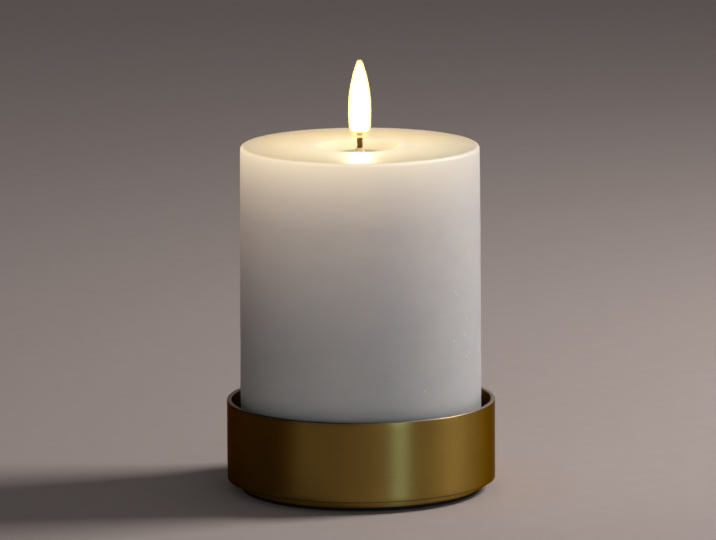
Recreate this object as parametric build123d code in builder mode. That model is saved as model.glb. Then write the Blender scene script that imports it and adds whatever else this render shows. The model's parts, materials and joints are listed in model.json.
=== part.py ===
from build123d import *
import os
from math import cos, hypot, pi, radians, sin, sqrt, tan

# A low brushed brass candle ring on a stepped base plate, with the electric wax pillar candle that
# stands in it. Millimetres, +Z up, origin at the centre of the foot pad's underside.
# The candle is sized from the inside out: cells, battery cover, switch, core, wax, then the ring.

os.makedirs("parts", exist_ok=True)

# Ring: tube wall, base plate and foot pad
candle_gap = 2.95  # radial gap between the candle and the ring's bore
ring_wall_t = 1.5
ring_wall_h = 25.8
ring_rim_round = 0.45
ring_skirt_chamfer = 0.25
rebate_depth = 0.6  # rebate in the wall's lower end that seats the base plate
solder_gap = 0.05  # radial gap round the base plate in its rebate
floor_t = 2.8
step_inset = 3.75  # the base step stands this far in from the wall
step_h = 2.4
step_chamfer = 0.4
pad_inset = 1.0  # the foot pad stands this far in from the base step
pad_t = 2.0
pad_sunk = 0.8  # depth of the pad's recess in the base plate
pad_gap = 0.15
pad_round = 0.3

# Rubber feet under the candle
foot_d = 8.0
foot_h = 1.2  # height shown below the candle's base
foot_sunk = 0.4
foot_gap = 0.15
foot_round = 0.3
foot_edge_gap = 1.5
foot_count = 3
foot_start = 60.0

# Battery cells, size AA, standing side by side
cell_d = 14.5
cell_l = 50.5
nub_d = 5.5
nub_h = 1.0
cell_round = 0.5
well_gap = 0.3  # radial gap round a cell in its well
well_web = 1.2  # wall between the two wells
well_wall_t = 1.5
well_ceiling_t = 1.6

# Battery contacts
contact_gap = 0.3  # gap between a cell's end and the contact that faces it
contact_t = 0.4
contact_l = 9.0
contact_w = 6.0
tab_w = 2.4
tab_gap = 0.3
spring_wire_d = 0.7
spring_h = 3.8
spring_large_d = 9.2
spring_small_d = 5.8
spring_turns = 3.0
spring_seat_gap = 0.1
bump_d = 5.0
bump_top_d = 3.0
bump_h = 1.5
bridge_w = 8.0

# Battery cover with its bayonet lugs
cover_cell_gap = 0.4
cover_skirt_t = 1.6
cover_skirt_h = 3.2
cover_plate_t = 1.8
cover_recess = 0.3  # the cover's face sits this far inside the base
cover_gap = 0.3  # running gap all round the cover
lug_l = 1.3
lug_t = 1.4
lug_arc = 26.0
lug_angles = (90.0, 270.0)
twist_arc = 35.0  # turn from locked back to the entry slots, clockwise from above
twist_slack = 1.5
coin_slot_l = 20.0
coin_slot_w = 2.2
coin_slot_depth = 1.0
collar_wall_t = 1.8
collar_roof_t = 1.6

# Base plate of the candle, called the flange here
flange_t = 2.4
flange_gap = 0.3
flange_round = 0.5
wax_skirt_t = 2.2  # wax left outside the flange

# Slide switch in the base
switch_gap = 2.5  # clear space between the switch and the cover's collar
switch_wall_gap = 1.6
switch_body_l = 11.0
switch_body_w = 5.6
switch_body_h = 5.0
switch_shell_t = 0.6
switch_travel = 2.0  # each way from the middle position
knob_l = 6.0
knob_w = 5.0
knob_t = 0.7
knob_gap = 0.3  # gap round the knob and its stem at the ends of travel
knob_stem_l = 2.8
knob_stem_w = 2.2
knob_stem_h = 3.0  # reach of the stem above the flange
knob_rib_w = 0.6
knob_rib_h = 0.3
knob_rib_pitch = 1.4
knob_rib_count = 3
knob_recess_depth = 1.3

# Screws that hold the base to the core
screw_count = 3
screw_start = 0.0
screw_d = 2.6
screw_l = 9.0
screw_head_d = 5.4
screw_head_h = 1.2
screw_head_gap = 0.2
screw_hole_gap = 0.3
screw_pilot_gap = 0.05
screw_tip_gap = 1.0
boss_d = 6.4
boss_h = 12.0
boss_merge = 0.6  # how far each boss sinks into the core's wall
drive_l = 3.0  # cross recess in a screw's head
drive_w = 0.7
drive_depth = 0.7

# Core: plastic can that carries the lamp inside the wax
core_wall_t = 1.6
core_roof_t = 1.6
core_gap = 0.3
lead_space = 26.3  # free height between the control board and the core's roof

# Control board and its components
board_l = 40.0
board_w = 34.0
board_t = 1.6
board_round = 3.0
board_screw_y = 6.2
board_screw_d = 1.5
board_screw_l = 5.0
board_screw_head_d = 3.2
board_screw_head_h = 1.0
board_screw_gap = 0.2
chip_edge_gap = 6.5  # clear board between the chip and the board's end
chip_y = -7.5
chip_l = 4.9
chip_w = 3.9
chip_h = 1.5
chip_round = 0.2
chip_leg_count = 4
chip_leg_pitch = 1.27
chip_leg_l = 1.0
chip_leg_w = 0.45
chip_leg_h = 0.5
crystal_y = 4.0
crystal_d = 2.0
crystal_l = 6.0
crystal_round = 0.3
capacitor_edge_gap = 5.0  # clear board between a capacitor and the board's other end
capacitor_y = 7.5
capacitor_d = 5.0
capacitor_h = 7.0
capacitor_round = 0.4
resistor_x = 4.5
resistor_pitch = 2.4
resistor_count = 4
resistor_l = 2.0
resistor_w = 1.2
resistor_h = 0.5

# Lamp board, remote receiver and wick holder on the core's roof
lamp_space = 6.0  # free height between the core's roof and the wax
lamp_board_d = 22.0
lamp_board_t = 1.2
peg_d = 2.0
peg_x = 7.5
peg_proud = 0.8
peg_gap = 0.15
receiver_x = 0.0
receiver_y = -6.5
receiver_l = 5.0
receiver_w = 3.2
receiver_h = 3.4
receiver_lens_d = 2.4
receiver_lens_proud = 0.8
holder_d = 4.8
holder_gap = 0.3  # clear of the wax above
holder_chamfer = 0.5

# Leads
lead_d = 1.1
lead_x = 1.27  # each lead's distance from the middle
lead_gap = 0.4
lead_straight = 8.0  # straight run at each end of the lamp leads
lamp_lead_low_y = 10.0
lamp_lead_high_y = 5.0
switch_lead_straight = 16.0
switch_lead_y = -13.5
bend_share = 0.45  # share of the shorter run that each bend takes

# Wax pillar
wax_wall_t = 5.9
wax_roof_t = 7.7
wax_taper = 0.45  # the top's radius is this much under the bottom's
wax_swell = 0.15  # the side bulges this much from a straight taper
wax_rim_round = 1.1
well_d = 26.0  # melt pool round the wick
well_depth = 3.0
well_lip_round = 1.5
creep_w = 1.8  # wax that creeps up the wick from the pool
creep_h = 1.7

# Wick and flame lens
wick_d = 1.8
wick_gap = 0.3  # gap round the wick in the wax
wick_in_flame = 1.8
flame_rise = 2.6  # the lens's lower end above the candle's top
flame_h = 25.1
flame_d = 7.3
flame_belly_h = 9.0
flame_heel_d = 6.4
flame_heel_round = 2.0
flame_tip_r = 1.0
flame_wick_gap = 0.05
led_d = 1.6
led_h = 1.0
led_gap = 0.4  # gap round the light chip in the lens

# Heights, from the foot up
step_z = pad_t - pad_sunk
skirt_z = step_z + step_h
floor_z = skirt_z + floor_t
rim_z = skirt_z + ring_wall_h
base_z = floor_z + foot_h
flange_top_z = base_z + flange_t
cover_z = base_z + cover_recess
cover_floor_z = cover_z + cover_plate_t
cover_top_z = cover_floor_z + cover_skirt_h
collar_ceiling_z = cover_top_z + cover_gap
collar_top_z = collar_ceiling_z + collar_roof_t
lug_z = cover_top_z - lug_t
groove_z = lug_z - cover_gap
bridge_top_z = cover_floor_z + contact_t
cell_z = bridge_top_z + bump_h + contact_gap
cell_top_z = cell_z + cell_l
plus_well_top_z = cell_top_z + contact_gap + contact_t
spring_z = cell_top_z + contact_gap
minus_well_top_z = spring_z + spring_h + spring_seat_gap + contact_t
board_z = minus_well_top_z + well_ceiling_t
board_top_z = board_z + board_t
core_roof_z = board_top_z + lead_space
core_top_z = core_roof_z + core_roof_t
lamp_board_top_z = core_top_z + lamp_board_t
wax_ceiling_z = core_top_z + lamp_space
wax_top_z = wax_ceiling_z + wax_roof_t
well_z = wax_top_z - well_depth
flame_z = wax_top_z + flame_rise
wick_top_z = flame_z + wick_in_flame
switch_top_z = flange_top_z + switch_body_h

# Radii, from the cells out
well_r = cell_d / 2 + well_gap
cell_pitch = 2 * well_r + well_web
cell_x = cell_pitch / 2
cover_bore_r = cell_x + cell_d / 2 + cover_cell_gap
cover_r = cover_bore_r + cover_skirt_t
collar_bore_r = cover_r + cover_gap
lug_r = cover_r + lug_l
groove_r = lug_r + cover_gap
collar_r = groove_r + collar_wall_t
switch_y = -(collar_r + switch_gap + switch_body_w / 2)
switch_corner_r = hypot(switch_body_l / 2, switch_body_w / 2 - switch_y)
core_bore_r = switch_corner_r + switch_wall_gap
core_r = core_bore_r + core_wall_t
wax_bore_r = core_r + core_gap
candle_r = wax_bore_r + wax_wall_t
wax_top_r = candle_r - wax_taper
wax_mid_r = (candle_r + wax_top_r) / 2 + wax_swell
wax_mid_z = (base_z + wax_top_z) / 2
wax_skirt_r = candle_r - wax_skirt_t
flange_r = wax_skirt_r - flange_gap
wick_r = wick_d / 2
wick_hole_r = wick_r + wick_gap
ring_bore_r = candle_r + candle_gap
ring_r = ring_bore_r + ring_wall_t
rebate_r = ring_bore_r + rebate_depth
plate_r = rebate_r - solder_gap
step_r = ring_r - step_inset
pad_r = step_r - pad_inset
foot_pitch_r = flange_r - foot_edge_gap - foot_d / 2
boss_pitch_r = core_bore_r + boss_merge - boss_d / 2
knob_top_z = base_z + knob_recess_depth - knob_gap
chip_x = board_l / 2 - chip_edge_gap - chip_l / 2
capacitor_x = board_l / 2 - capacitor_edge_gap - capacitor_d / 2
creep_r = wick_hole_r + creep_w
cut_overlap = 0.5  # cuts start this far inside the space that they open from
quarter_turn = 0.25
gap_points_per_turn = 72


def ring_sector(inner_r, outer_r, start, arc):
    """Return one flat sector of a ring, its angles in degrees."""
    with BuildSketch() as sector:
        with BuildLine():
            inner = CenterArc((0, 0), inner_r, start, arc)
            outer = CenterArc((0, 0), outer_r, start, arc)
            Line(inner @ 0, outer @ 0)
            Line(inner @ 1, outer @ 1)
        make_face()
    return sector.sketch


def bend_radii(points):
    """Give each corner of a route the largest bend that its two runs allow."""
    radii = []
    for before, corner, after in zip(points, points[1:], points[2:]):
        run_in = Vector(corner) - Vector(before)
        run_out = Vector(after) - Vector(corner)
        half_turn = radians(run_in.get_angle(run_out)) / 2
        radii.append(bend_share * min(run_in.length, run_out.length) / tan(half_turn))
    return radii


def print_lead(name, route, tube):
    """Compare a lead's volume with its section times its length."""
    expected = route.length * pi * lead_d**2 / 4
    print(name, "length", round(route.length, 2), "volume share", round(tube.volume / expected, 5))


def spring_point(turn):
    """Return the middle of the spring's wire after this many turns."""
    share = turn / spring_turns
    radius = (spring_small_d + (spring_large_d - spring_small_d) * share) / 2
    angle = 2 * pi * turn
    height = spring_z + spring_wire_d / 2 + (spring_h - spring_wire_d) * share
    return Vector(cell_x + radius * cos(angle), radius * sin(angle), height)


def spring_direction(turn):
    """Return the way that the spring's wire runs after this many turns."""
    share = turn / spring_turns
    radius = (spring_small_d + (spring_large_d - spring_small_d) * share) / 2
    growth = (spring_large_d - spring_small_d) / (4 * pi * spring_turns)
    climb = (spring_h - spring_wire_d) / (2 * pi * spring_turns)
    angle = 2 * pi * turn
    across = growth * cos(angle) - radius * sin(angle)
    along = growth * sin(angle) + radius * cos(angle)
    return Vector(across, along, climb).normalized()


def biarc_joint(start, start_way, end, end_way):
    """Return the point where two arcs meet smoothly between two points with given directions."""
    chord = end - start
    ways = start_way + end_way
    spread = 1 - start_way.dot(end_way)
    lean = chord.dot(ways)
    reach = (sqrt(lean**2 + 2 * spread * chord.dot(chord)) - lean) / (2 * spread)
    return (start + start_way * reach + end - end_way * reach) * 0.5


def spring_self_gap():
    """Return the least gap between neighbouring turns of the spring, measured on points."""
    points = [spring_point(index / gap_points_per_turn) for index in
              range(int(spring_turns * gap_points_per_turn) + 1)]
    half_turn = gap_points_per_turn // 2
    spans = [(far - near).length for index, near in enumerate(points) for far in points[index + half_turn:]]
    return min(spans) - spring_wire_d


# Ring wall: a turned tube with a rounded rim and a rebate at its lower end
with BuildPart() as ring_wall:
    with BuildSketch(Plane.XZ) as ring_wall_section:
        with BuildLine():
            Polyline(
                (ring_r, skirt_z),
                (ring_r, rim_z),
                (ring_bore_r, rim_z),
                (ring_bore_r, floor_z),
                (rebate_r, floor_z),
                (rebate_r, skirt_z),
                close=True,
            )
        make_face()
        fillet(ring_wall_section.vertices().group_by(Axis.Y)[-1], ring_rim_round)
        chamfer(ring_wall_section.vertices().group_by(Axis.Y)[0].sort_by(Axis.X)[-1], ring_skirt_chamfer)
    revolve(axis=Axis.Z)

# Ring base: a stepped plate that closes the wall from below, with a recess for the pad
with BuildPart() as ring_base:
    with BuildSketch(Plane.XZ) as ring_base_section:
        with BuildLine():
            Polyline(
                (0, pad_t),
                (pad_r + pad_gap, pad_t),
                (pad_r + pad_gap, step_z),
                (step_r, step_z),
                (step_r, skirt_z),
                (plate_r, skirt_z),
                (plate_r, floor_z),
                (0, floor_z),
                close=True,
            )
        make_face()
        chamfer(ring_base_section.vertices().group_by(Axis.Y)[0].sort_by(Axis.X)[-1], step_chamfer)
    revolve(axis=Axis.Z)

# Foot pad: a soft black disc stuck into the base plate
with BuildPart() as foot_pad:
    with BuildSketch():
        Circle(pad_r)
    extrude(amount=pad_t)
    fillet(foot_pad.edges().group_by(Axis.Z)[0], pad_round)

# Wax pillar: a moulded shell with a bulging side, a flat top and a melt pool that creeps up the wick
with BuildPart() as wax_pillar:
    with BuildSketch(Plane.XZ) as wax_section:
        with BuildLine():
            ThreePointArc((candle_r, base_z), (wax_mid_r, wax_mid_z), (wax_top_r, wax_top_z))
            Line((wax_top_r, wax_top_z), (well_d / 2, wax_top_z))
            TangentArc((creep_r, well_z), (well_d / 2, wax_top_z), tangent=(1, 0))
            TangentArc((creep_r, well_z), (wick_hole_r, well_z + creep_h), tangent=(-1, 0))
            Polyline(
                (wick_hole_r, well_z + creep_h),
                (wick_hole_r, wax_ceiling_z),
                (wax_bore_r, wax_ceiling_z),
                (wax_bore_r, flange_top_z),
                (wax_skirt_r, flange_top_z),
                (wax_skirt_r, base_z),
                (candle_r, base_z),
            )
        make_face()
        fillet(wax_section.vertices().group_by(Axis.Y)[-1].sort_by(Axis.X)[-1], wax_rim_round)
        fillet(wax_section.vertices().group_by(Axis.Y)[-1].sort_by(Axis.X)[0], well_lip_round)
    revolve(axis=Axis.Z)

# Core: a can that stands on the flange, with screw bosses on its wall and pegs on its roof
with BuildPart() as core_sleeve:
    with BuildSketch(Plane.XY.offset(flange_top_z)):
        Circle(core_r)
    extrude(amount=core_top_z - flange_top_z)
    with BuildSketch(Plane.XY.offset(flange_top_z)):
        Circle(core_bore_r)
    extrude(amount=core_roof_z - flange_top_z, mode=Mode.SUBTRACT)
    with BuildSketch(Plane.XY.offset(flange_top_z)):
        with PolarLocations(boss_pitch_r, screw_count, screw_start):
            Circle(boss_d / 2)
    extrude(amount=boss_h)
    with BuildSketch(Plane.XY.offset(flange_top_z)):
        with PolarLocations(boss_pitch_r, screw_count, screw_start):
            Circle(screw_d / 2 + screw_pilot_gap)
    extrude(amount=screw_l + screw_tip_gap, mode=Mode.SUBTRACT)
    with BuildSketch(Plane.XY.offset(core_top_z)):
        with GridLocations(2 * peg_x, 0, 2, 1):
            Circle(peg_d / 2)
    extrude(amount=lamp_board_t + peg_proud)
    with BuildSketch(Plane.XY.offset(core_roof_z)):
        with Locations((0, lamp_lead_high_y)):
            SlotCenterToCenter(2 * lead_x, lead_d + 2 * lead_gap)
    extrude(amount=core_roof_t, mode=Mode.SUBTRACT)

# Battery housing: flange, bayonet collar and two wells moulded in one piece
with BuildPart() as battery_housing:
    with BuildSketch(Plane.XY.offset(base_z)):
        Circle(flange_r)
    extrude(amount=flange_t)
    fillet(battery_housing.edges().group_by(Axis.Z)[0], flange_round)
    with BuildSketch(Plane.XY.offset(base_z)):
        Circle(collar_r)
    extrude(amount=collar_top_z - base_z)
    with BuildSketch(Plane.XY.offset(collar_ceiling_z)):
        SlotCenterToCenter(cell_pitch, 2 * (well_r + well_wall_t))
    extrude(amount=board_z - collar_ceiling_z)
    # Bore for the cover, then a groove and an entry slot for each lug
    with BuildSketch(Plane.XY.offset(base_z)):
        Circle(collar_bore_r)
    extrude(amount=collar_ceiling_z - base_z, mode=Mode.SUBTRACT)
    for lug_angle in lug_angles:
        groove_start = lug_angle - twist_arc - lug_arc / 2 - twist_slack
        slot_arc = lug_arc + 2 * twist_slack
        with BuildSketch(Plane.XY.offset(groove_z)):
            add(ring_sector(collar_bore_r - cut_overlap, groove_r, groove_start, slot_arc + twist_arc))
        extrude(amount=collar_ceiling_z - groove_z, mode=Mode.SUBTRACT)
        with BuildSketch(Plane.XY.offset(base_z)):
            add(ring_sector(collar_bore_r - cut_overlap, groove_r, groove_start, slot_arc))
        extrude(amount=groove_z - base_z, mode=Mode.SUBTRACT)
    # Wells, the left one shallower because it has no spring, and a slot for each contact's tab
    for well_x, well_top_z in ((-cell_x, plus_well_top_z), (cell_x, minus_well_top_z)):
        with BuildSketch(Plane.XY.offset(collar_ceiling_z)):
            with Locations((well_x, 0)):
                Circle(well_r)
        extrude(amount=well_top_z - collar_ceiling_z, mode=Mode.SUBTRACT)
        with BuildSketch(Plane.XY.offset(well_top_z)):
            with Locations((well_x, 0)):
                Rectangle(tab_w + 2 * tab_gap, contact_t + 2 * tab_gap)
        extrude(amount=board_z - well_top_z, mode=Mode.SUBTRACT)
    # Pilot holes for the control board's screws
    with BuildSketch(Plane.XY.offset(board_z)):
        with GridLocations(0, 2 * board_screw_y, 1, 2):
            Circle(board_screw_d / 2 + screw_pilot_gap)
    extrude(amount=-(board_screw_l + screw_tip_gap), mode=Mode.SUBTRACT)
    # Counterbored holes for the base screws, and seats for the feet
    with BuildSketch(Plane.XY.offset(base_z)):
        with PolarLocations(boss_pitch_r, screw_count, screw_start):
            Circle(screw_d / 2 + screw_hole_gap)
    extrude(amount=flange_t, mode=Mode.SUBTRACT)
    with BuildSketch(Plane.XY.offset(base_z)):
        with PolarLocations(boss_pitch_r, screw_count, screw_start):
            Circle(screw_head_d / 2 + screw_head_gap)
    extrude(amount=screw_head_h, mode=Mode.SUBTRACT)
    with BuildSketch(Plane.XY.offset(base_z)):
        with PolarLocations(foot_pitch_r, foot_count, foot_start):
            Circle(foot_d / 2 + foot_gap)
    extrude(amount=foot_sunk, mode=Mode.SUBTRACT)
    # Recess and slot for the switch's knob
    with BuildSketch(Plane.XY.offset(base_z)):
        with Locations((0, switch_y)):
            Rectangle(knob_l + 2 * (switch_travel + knob_gap), knob_w + 2 * knob_gap)
    extrude(amount=knob_recess_depth, mode=Mode.SUBTRACT)
    with BuildSketch(Plane.XY.offset(base_z)):
        with Locations((0, switch_y)):
            Rectangle(knob_stem_l + 2 * (switch_travel + knob_gap), knob_stem_w + 2 * knob_gap)
    extrude(amount=flange_t, mode=Mode.SUBTRACT)

# Battery cover: a dished disc with bayonet lugs on its skirt and a coin slot in its face
with BuildPart() as battery_cover:
    with BuildSketch(Plane.XY.offset(cover_z)):
        Circle(cover_r)
    extrude(amount=cover_top_z - cover_z)
    with BuildSketch(Plane.XY.offset(cover_floor_z)):
        Circle(cover_bore_r)
    extrude(amount=cover_skirt_h, mode=Mode.SUBTRACT)
    for lug_angle in lug_angles:
        with BuildSketch(Plane.XY.offset(lug_z)):
            add(ring_sector(cover_bore_r, lug_r, lug_angle - lug_arc / 2, lug_arc))
        extrude(amount=lug_t)
    with BuildSketch(Plane.XY.offset(cover_z)):
        SlotOverall(coin_slot_l, coin_slot_w)
    extrude(amount=coin_slot_depth, mode=Mode.SUBTRACT)

# Bridge contact: a strip on the cover with a pressed bump under each cell
with BuildPart() as bridge_contact:
    with BuildSketch(Plane.XY.offset(cover_floor_z)):
        SlotCenterToCenter(cell_pitch, bridge_w)
    extrude(amount=contact_t)
    with Locations((-cell_x, 0, bridge_top_z), (cell_x, 0, bridge_top_z)):
        Cone(bump_d / 2, bump_top_d / 2, bump_h, align=(Align.CENTER, Align.CENTER, Align.MIN))

# Cells: the left one stands plus end up, the right one plus end down
with BuildPart() as cell_left:
    with BuildSketch(Plane.XY.offset(cell_z)):
        with Locations((-cell_x, 0)):
            Circle(cell_d / 2)
    extrude(amount=cell_l - nub_h)
    fillet(cell_left.edges().filter_by(GeomType.CIRCLE), cell_round)
    with BuildSketch(Plane.XY.offset(cell_top_z)):
        with Locations((-cell_x, 0)):
            Circle(nub_d / 2)
    extrude(amount=-nub_h)

with BuildPart() as cell_right:
    with BuildSketch(Plane.XY.offset(cell_top_z)):
        with Locations((cell_x, 0)):
            Circle(cell_d / 2)
    extrude(amount=nub_h - cell_l)
    fillet(cell_right.edges().filter_by(GeomType.CIRCLE), cell_round)
    with BuildSketch(Plane.XY.offset(cell_z)):
        with Locations((cell_x, 0)):
            Circle(nub_d / 2)
    extrude(amount=nub_h)

# Contact plates under the wells' ceilings, each with a tab up to the control board
with BuildPart() as contact_plates:
    for well_x, well_top_z in ((-cell_x, plus_well_top_z), (cell_x, minus_well_top_z)):
        with BuildSketch(Plane.XY.offset(well_top_z)):
            with Locations((well_x, 0)):
                Rectangle(contact_l, contact_w)
        extrude(amount=-contact_t)
        with BuildSketch(Plane.XY.offset(well_top_z)):
            with Locations((well_x, 0)):
                Rectangle(tab_w, contact_t)
        extrude(amount=board_z - well_top_z)

# Contact spring: a cone of round wire between the right cell's flat end and its plate
with BuildPart() as contact_spring:
    with BuildLine() as spring_line:
        for quarter in range(round(spring_turns / quarter_turn)):
            turn = quarter * quarter_turn
            start_way = spring_direction(turn)
            end_way = spring_direction(turn + quarter_turn)
            span = (spring_point(turn), spring_point(turn + quarter_turn))
            joint = biarc_joint(span[0], start_way, span[1], end_way)
            first_arc = TangentArc(span[0], joint, tangent=start_way)
            TangentArc(joint, span[1], tangent=first_arc % 1)
    with BuildSketch(Plane(origin=spring_point(0), z_dir=spring_direction(0))):
        Circle(spring_wire_d / 2)
    sweep(path=spring_line.line)

# Slide switch: an open-bottomed can on the flange, and the knob that reaches into it
with BuildPart() as switch_body:
    with BuildSketch(Plane.XY.offset(flange_top_z)):
        with Locations((0, switch_y)):
            Rectangle(switch_body_l, switch_body_w)
    extrude(amount=switch_body_h)
    with BuildSketch(Plane.XY.offset(flange_top_z)):
        with Locations((0, switch_y)):
            Rectangle(switch_body_l - 2 * switch_shell_t, switch_body_w - 2 * switch_shell_t)
    extrude(amount=switch_body_h - switch_shell_t, mode=Mode.SUBTRACT)

with BuildPart() as switch_knob:
    with BuildSketch(Plane.XY.offset(knob_top_z)):
        with Locations((0, switch_y)):
            Rectangle(knob_l, knob_w)
    extrude(amount=-knob_t)
    with BuildSketch(Plane.XY.offset(knob_top_z)):
        with Locations((0, switch_y)):
            Rectangle(knob_stem_l, knob_stem_w)
    extrude(amount=flange_top_z + knob_stem_h - knob_top_z)
    with BuildSketch(Plane.XY.offset(knob_top_z - knob_t)):
        with Locations((0, switch_y)):
            with GridLocations(knob_rib_pitch, 0, knob_rib_count, 1):
                Rectangle(knob_rib_w, knob_w)
    extrude(amount=-knob_rib_h)

# Screws through the flange into the core's bosses
with BuildPart() as base_screws:
    with BuildSketch(Plane.XY.offset(base_z)):
        with PolarLocations(boss_pitch_r, screw_count, screw_start):
            Circle(screw_head_d / 2)
    extrude(amount=screw_head_h)
    with BuildSketch(Plane.XY.offset(base_z + screw_head_h)):
        with PolarLocations(boss_pitch_r, screw_count, screw_start):
            Circle(screw_d / 2)
    extrude(amount=flange_t - screw_head_h + screw_l)
    with BuildSketch(Plane.XY.offset(base_z)):
        with PolarLocations(boss_pitch_r, screw_count, screw_start):
            Rectangle(drive_l, drive_w)
            Rectangle(drive_w, drive_l)
    extrude(amount=drive_depth, mode=Mode.SUBTRACT)

# Feet that the candle stands on inside the ring
with BuildPart() as candle_feet:
    with BuildSketch(Plane.XY.offset(floor_z)):
        with PolarLocations(foot_pitch_r, foot_count, foot_start):
            Circle(foot_d / 2)
    extrude(amount=foot_h + foot_sunk)
    fillet(candle_feet.edges().group_by(Axis.Z)[0], foot_round)

# Control board on top of the wells, with holes for its screws
with BuildPart() as control_board:
    with BuildSketch(Plane.XY.offset(board_z)):
        RectangleRounded(board_l, board_w, board_round)
        with GridLocations(0, 2 * board_screw_y, 1, 2):
            Circle(board_screw_d / 2 + board_screw_gap, mode=Mode.SUBTRACT)
    extrude(amount=board_t)

with BuildPart() as board_screws:
    with BuildSketch(Plane.XY.offset(board_top_z)):
        with GridLocations(0, 2 * board_screw_y, 1, 2):
            Circle(board_screw_head_d / 2)
    extrude(amount=board_screw_head_h)
    with BuildSketch(Plane.XY.offset(board_top_z)):
        with GridLocations(0, 2 * board_screw_y, 1, 2):
            Circle(board_screw_d / 2)
    extrude(amount=-(board_t + board_screw_l))

# Timer chip with its legs along two sides
with BuildPart() as timer_chip:
    with BuildSketch(Plane.XY.offset(board_top_z)):
        with Locations((chip_x, chip_y)):
            RectangleRounded(chip_l, chip_w, chip_round)
    extrude(amount=chip_h)
    with BuildSketch(Plane.XY.offset(board_top_z)):
        with Locations((chip_x, chip_y)):
            with GridLocations(chip_leg_pitch, 0, chip_leg_count, 1):
                Rectangle(chip_leg_w, chip_w + 2 * chip_leg_l)
    extrude(amount=chip_leg_h)

# Timing crystal: a small can lying on the board
with BuildPart() as timing_crystal:
    with BuildSketch(Plane.XZ.offset(-(crystal_y - crystal_l / 2))):
        with Locations((chip_x, board_top_z + crystal_d / 2)):
            Circle(crystal_d / 2)
    extrude(amount=-crystal_l)
    fillet(timing_crystal.edges().filter_by(GeomType.CIRCLE), crystal_round)

with BuildPart() as board_capacitors:
    with BuildSketch(Plane.XY.offset(board_top_z)):
        with Locations((-capacitor_x, 0)):
            with GridLocations(0, 2 * capacitor_y, 1, 2):
                Circle(capacitor_d / 2)
    extrude(amount=capacitor_h)
    fillet(board_capacitors.edges().group_by(Axis.Z)[-1], capacitor_round)

with BuildPart() as board_resistors:
    with BuildSketch(Plane.XY.offset(board_top_z)):
        with Locations((resistor_x, 0)):
            with GridLocations(0, resistor_pitch, 1, resistor_count):
                Rectangle(resistor_l, resistor_w)
    extrude(amount=resistor_h)

# Lamp board on the core's roof, located by the pegs
with BuildPart() as lamp_board:
    with BuildSketch(Plane.XY.offset(core_top_z)):
        Circle(lamp_board_d / 2)
        with GridLocations(2 * peg_x, 0, 2, 1):
            Circle(peg_d / 2 + peg_gap, mode=Mode.SUBTRACT)
    extrude(amount=lamp_board_t)

# Remote receiver: a small block with a half-round lens
receiver_lens_y = receiver_y - receiver_w / 2 - receiver_lens_proud + receiver_lens_d / 2
with BuildPart() as remote_receiver:
    with BuildSketch(Plane.XY.offset(lamp_board_top_z)):
        with Locations((receiver_x, receiver_y)):
            Rectangle(receiver_l, receiver_w)
    extrude(amount=receiver_h)
    with BuildSketch(Plane.XY.offset(lamp_board_top_z)):
        with Locations((receiver_x, receiver_lens_y)):
            Circle(receiver_lens_d / 2)
    extrude(amount=receiver_h)

# Wick holder: a collar on the lamp board
with BuildPart() as wick_holder:
    with BuildSketch(Plane.XY.offset(lamp_board_top_z)):
        Circle(holder_d / 2)
        Circle(wick_r + flame_wick_gap, mode=Mode.SUBTRACT)
    extrude(amount=wax_ceiling_z - holder_gap - lamp_board_top_z)
    chamfer(wick_holder.edges().group_by(Axis.Z)[-1].sort_by(SortBy.RADIUS)[-1], holder_chamfer)

# Wick: a stiff sleeve from the lamp board up into the flame lens
with BuildPart() as wick:
    with BuildSketch(Plane.XY.offset(lamp_board_top_z)):
        Circle(wick_r)
    extrude(amount=wick_top_z - lamp_board_top_z)

# Light chip on the wick's tip
with BuildPart() as flame_led:
    with BuildSketch(Plane.XY.offset(wick_top_z)):
        Circle(led_d / 2)
    extrude(amount=led_h)

# Flame lens: a bullet with a round heel, widest below the middle, bored for the wick and the chip
flame_r = flame_d / 2
ogive_rise = flame_h - flame_tip_r - flame_belly_h
ogive_r = (ogive_rise**2 + flame_r**2 - flame_tip_r**2) / (2 * (flame_r - flame_tip_r))
tip_share = flame_tip_r / (ogive_r - flame_tip_r)
tip_start = (tip_share * (ogive_r - flame_r), flame_z + flame_h - flame_tip_r + tip_share * ogive_rise)
belly_point = (flame_r, flame_z + flame_belly_h)
heel_point = (flame_heel_d / 2, flame_z)
led_room_r = led_d / 2 + led_gap
led_room_top_z = wick_top_z + led_h + led_gap
mouth_r = wick_r + flame_wick_gap
with BuildPart() as flame_lens:
    with BuildSketch(Plane.XZ) as flame_section:
        with BuildLine():
            TangentArc(belly_point, heel_point, tangent=(0, -1))
            ogive = TangentArc(belly_point, tip_start, tangent=(0, 1))
            TangentArc(tip_start, (0, flame_z + flame_h), tangent=ogive % 1)
            Polyline(
                (0, flame_z + flame_h),
                (0, led_room_top_z),
                (led_room_r, led_room_top_z),
                (led_room_r, wick_top_z),
                (mouth_r, wick_top_z),
                (mouth_r, flame_z),
                heel_point,
            )
        make_face()
        fillet(flame_section.vertices().group_by(Axis.Y)[0].sort_by(Axis.X)[-1], flame_heel_round)
    revolve(axis=Axis.Z)

# Leads from the control board up to the lamp board, and from the switch up to the control board
with BuildPart() as lamp_leads:
    for lead_side in (-lead_x, lead_x):
        lamp_route = [
            (lead_side, lamp_lead_low_y, board_top_z),
            (lead_side, lamp_lead_low_y, board_top_z + lead_straight),
            (lead_side, lamp_lead_high_y, core_top_z - lead_straight),
            (lead_side, lamp_lead_high_y, core_top_z),
        ]
        with BuildLine() as lamp_lead_path:
            FilletPolyline(*lamp_route, radius=bend_radii(lamp_route))
        with BuildSketch(Plane.XY.offset(board_top_z)):
            with Locations((lead_side, lamp_lead_low_y)):
                Circle(lead_d / 2)
        sweep(path=lamp_lead_path.line)

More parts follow.
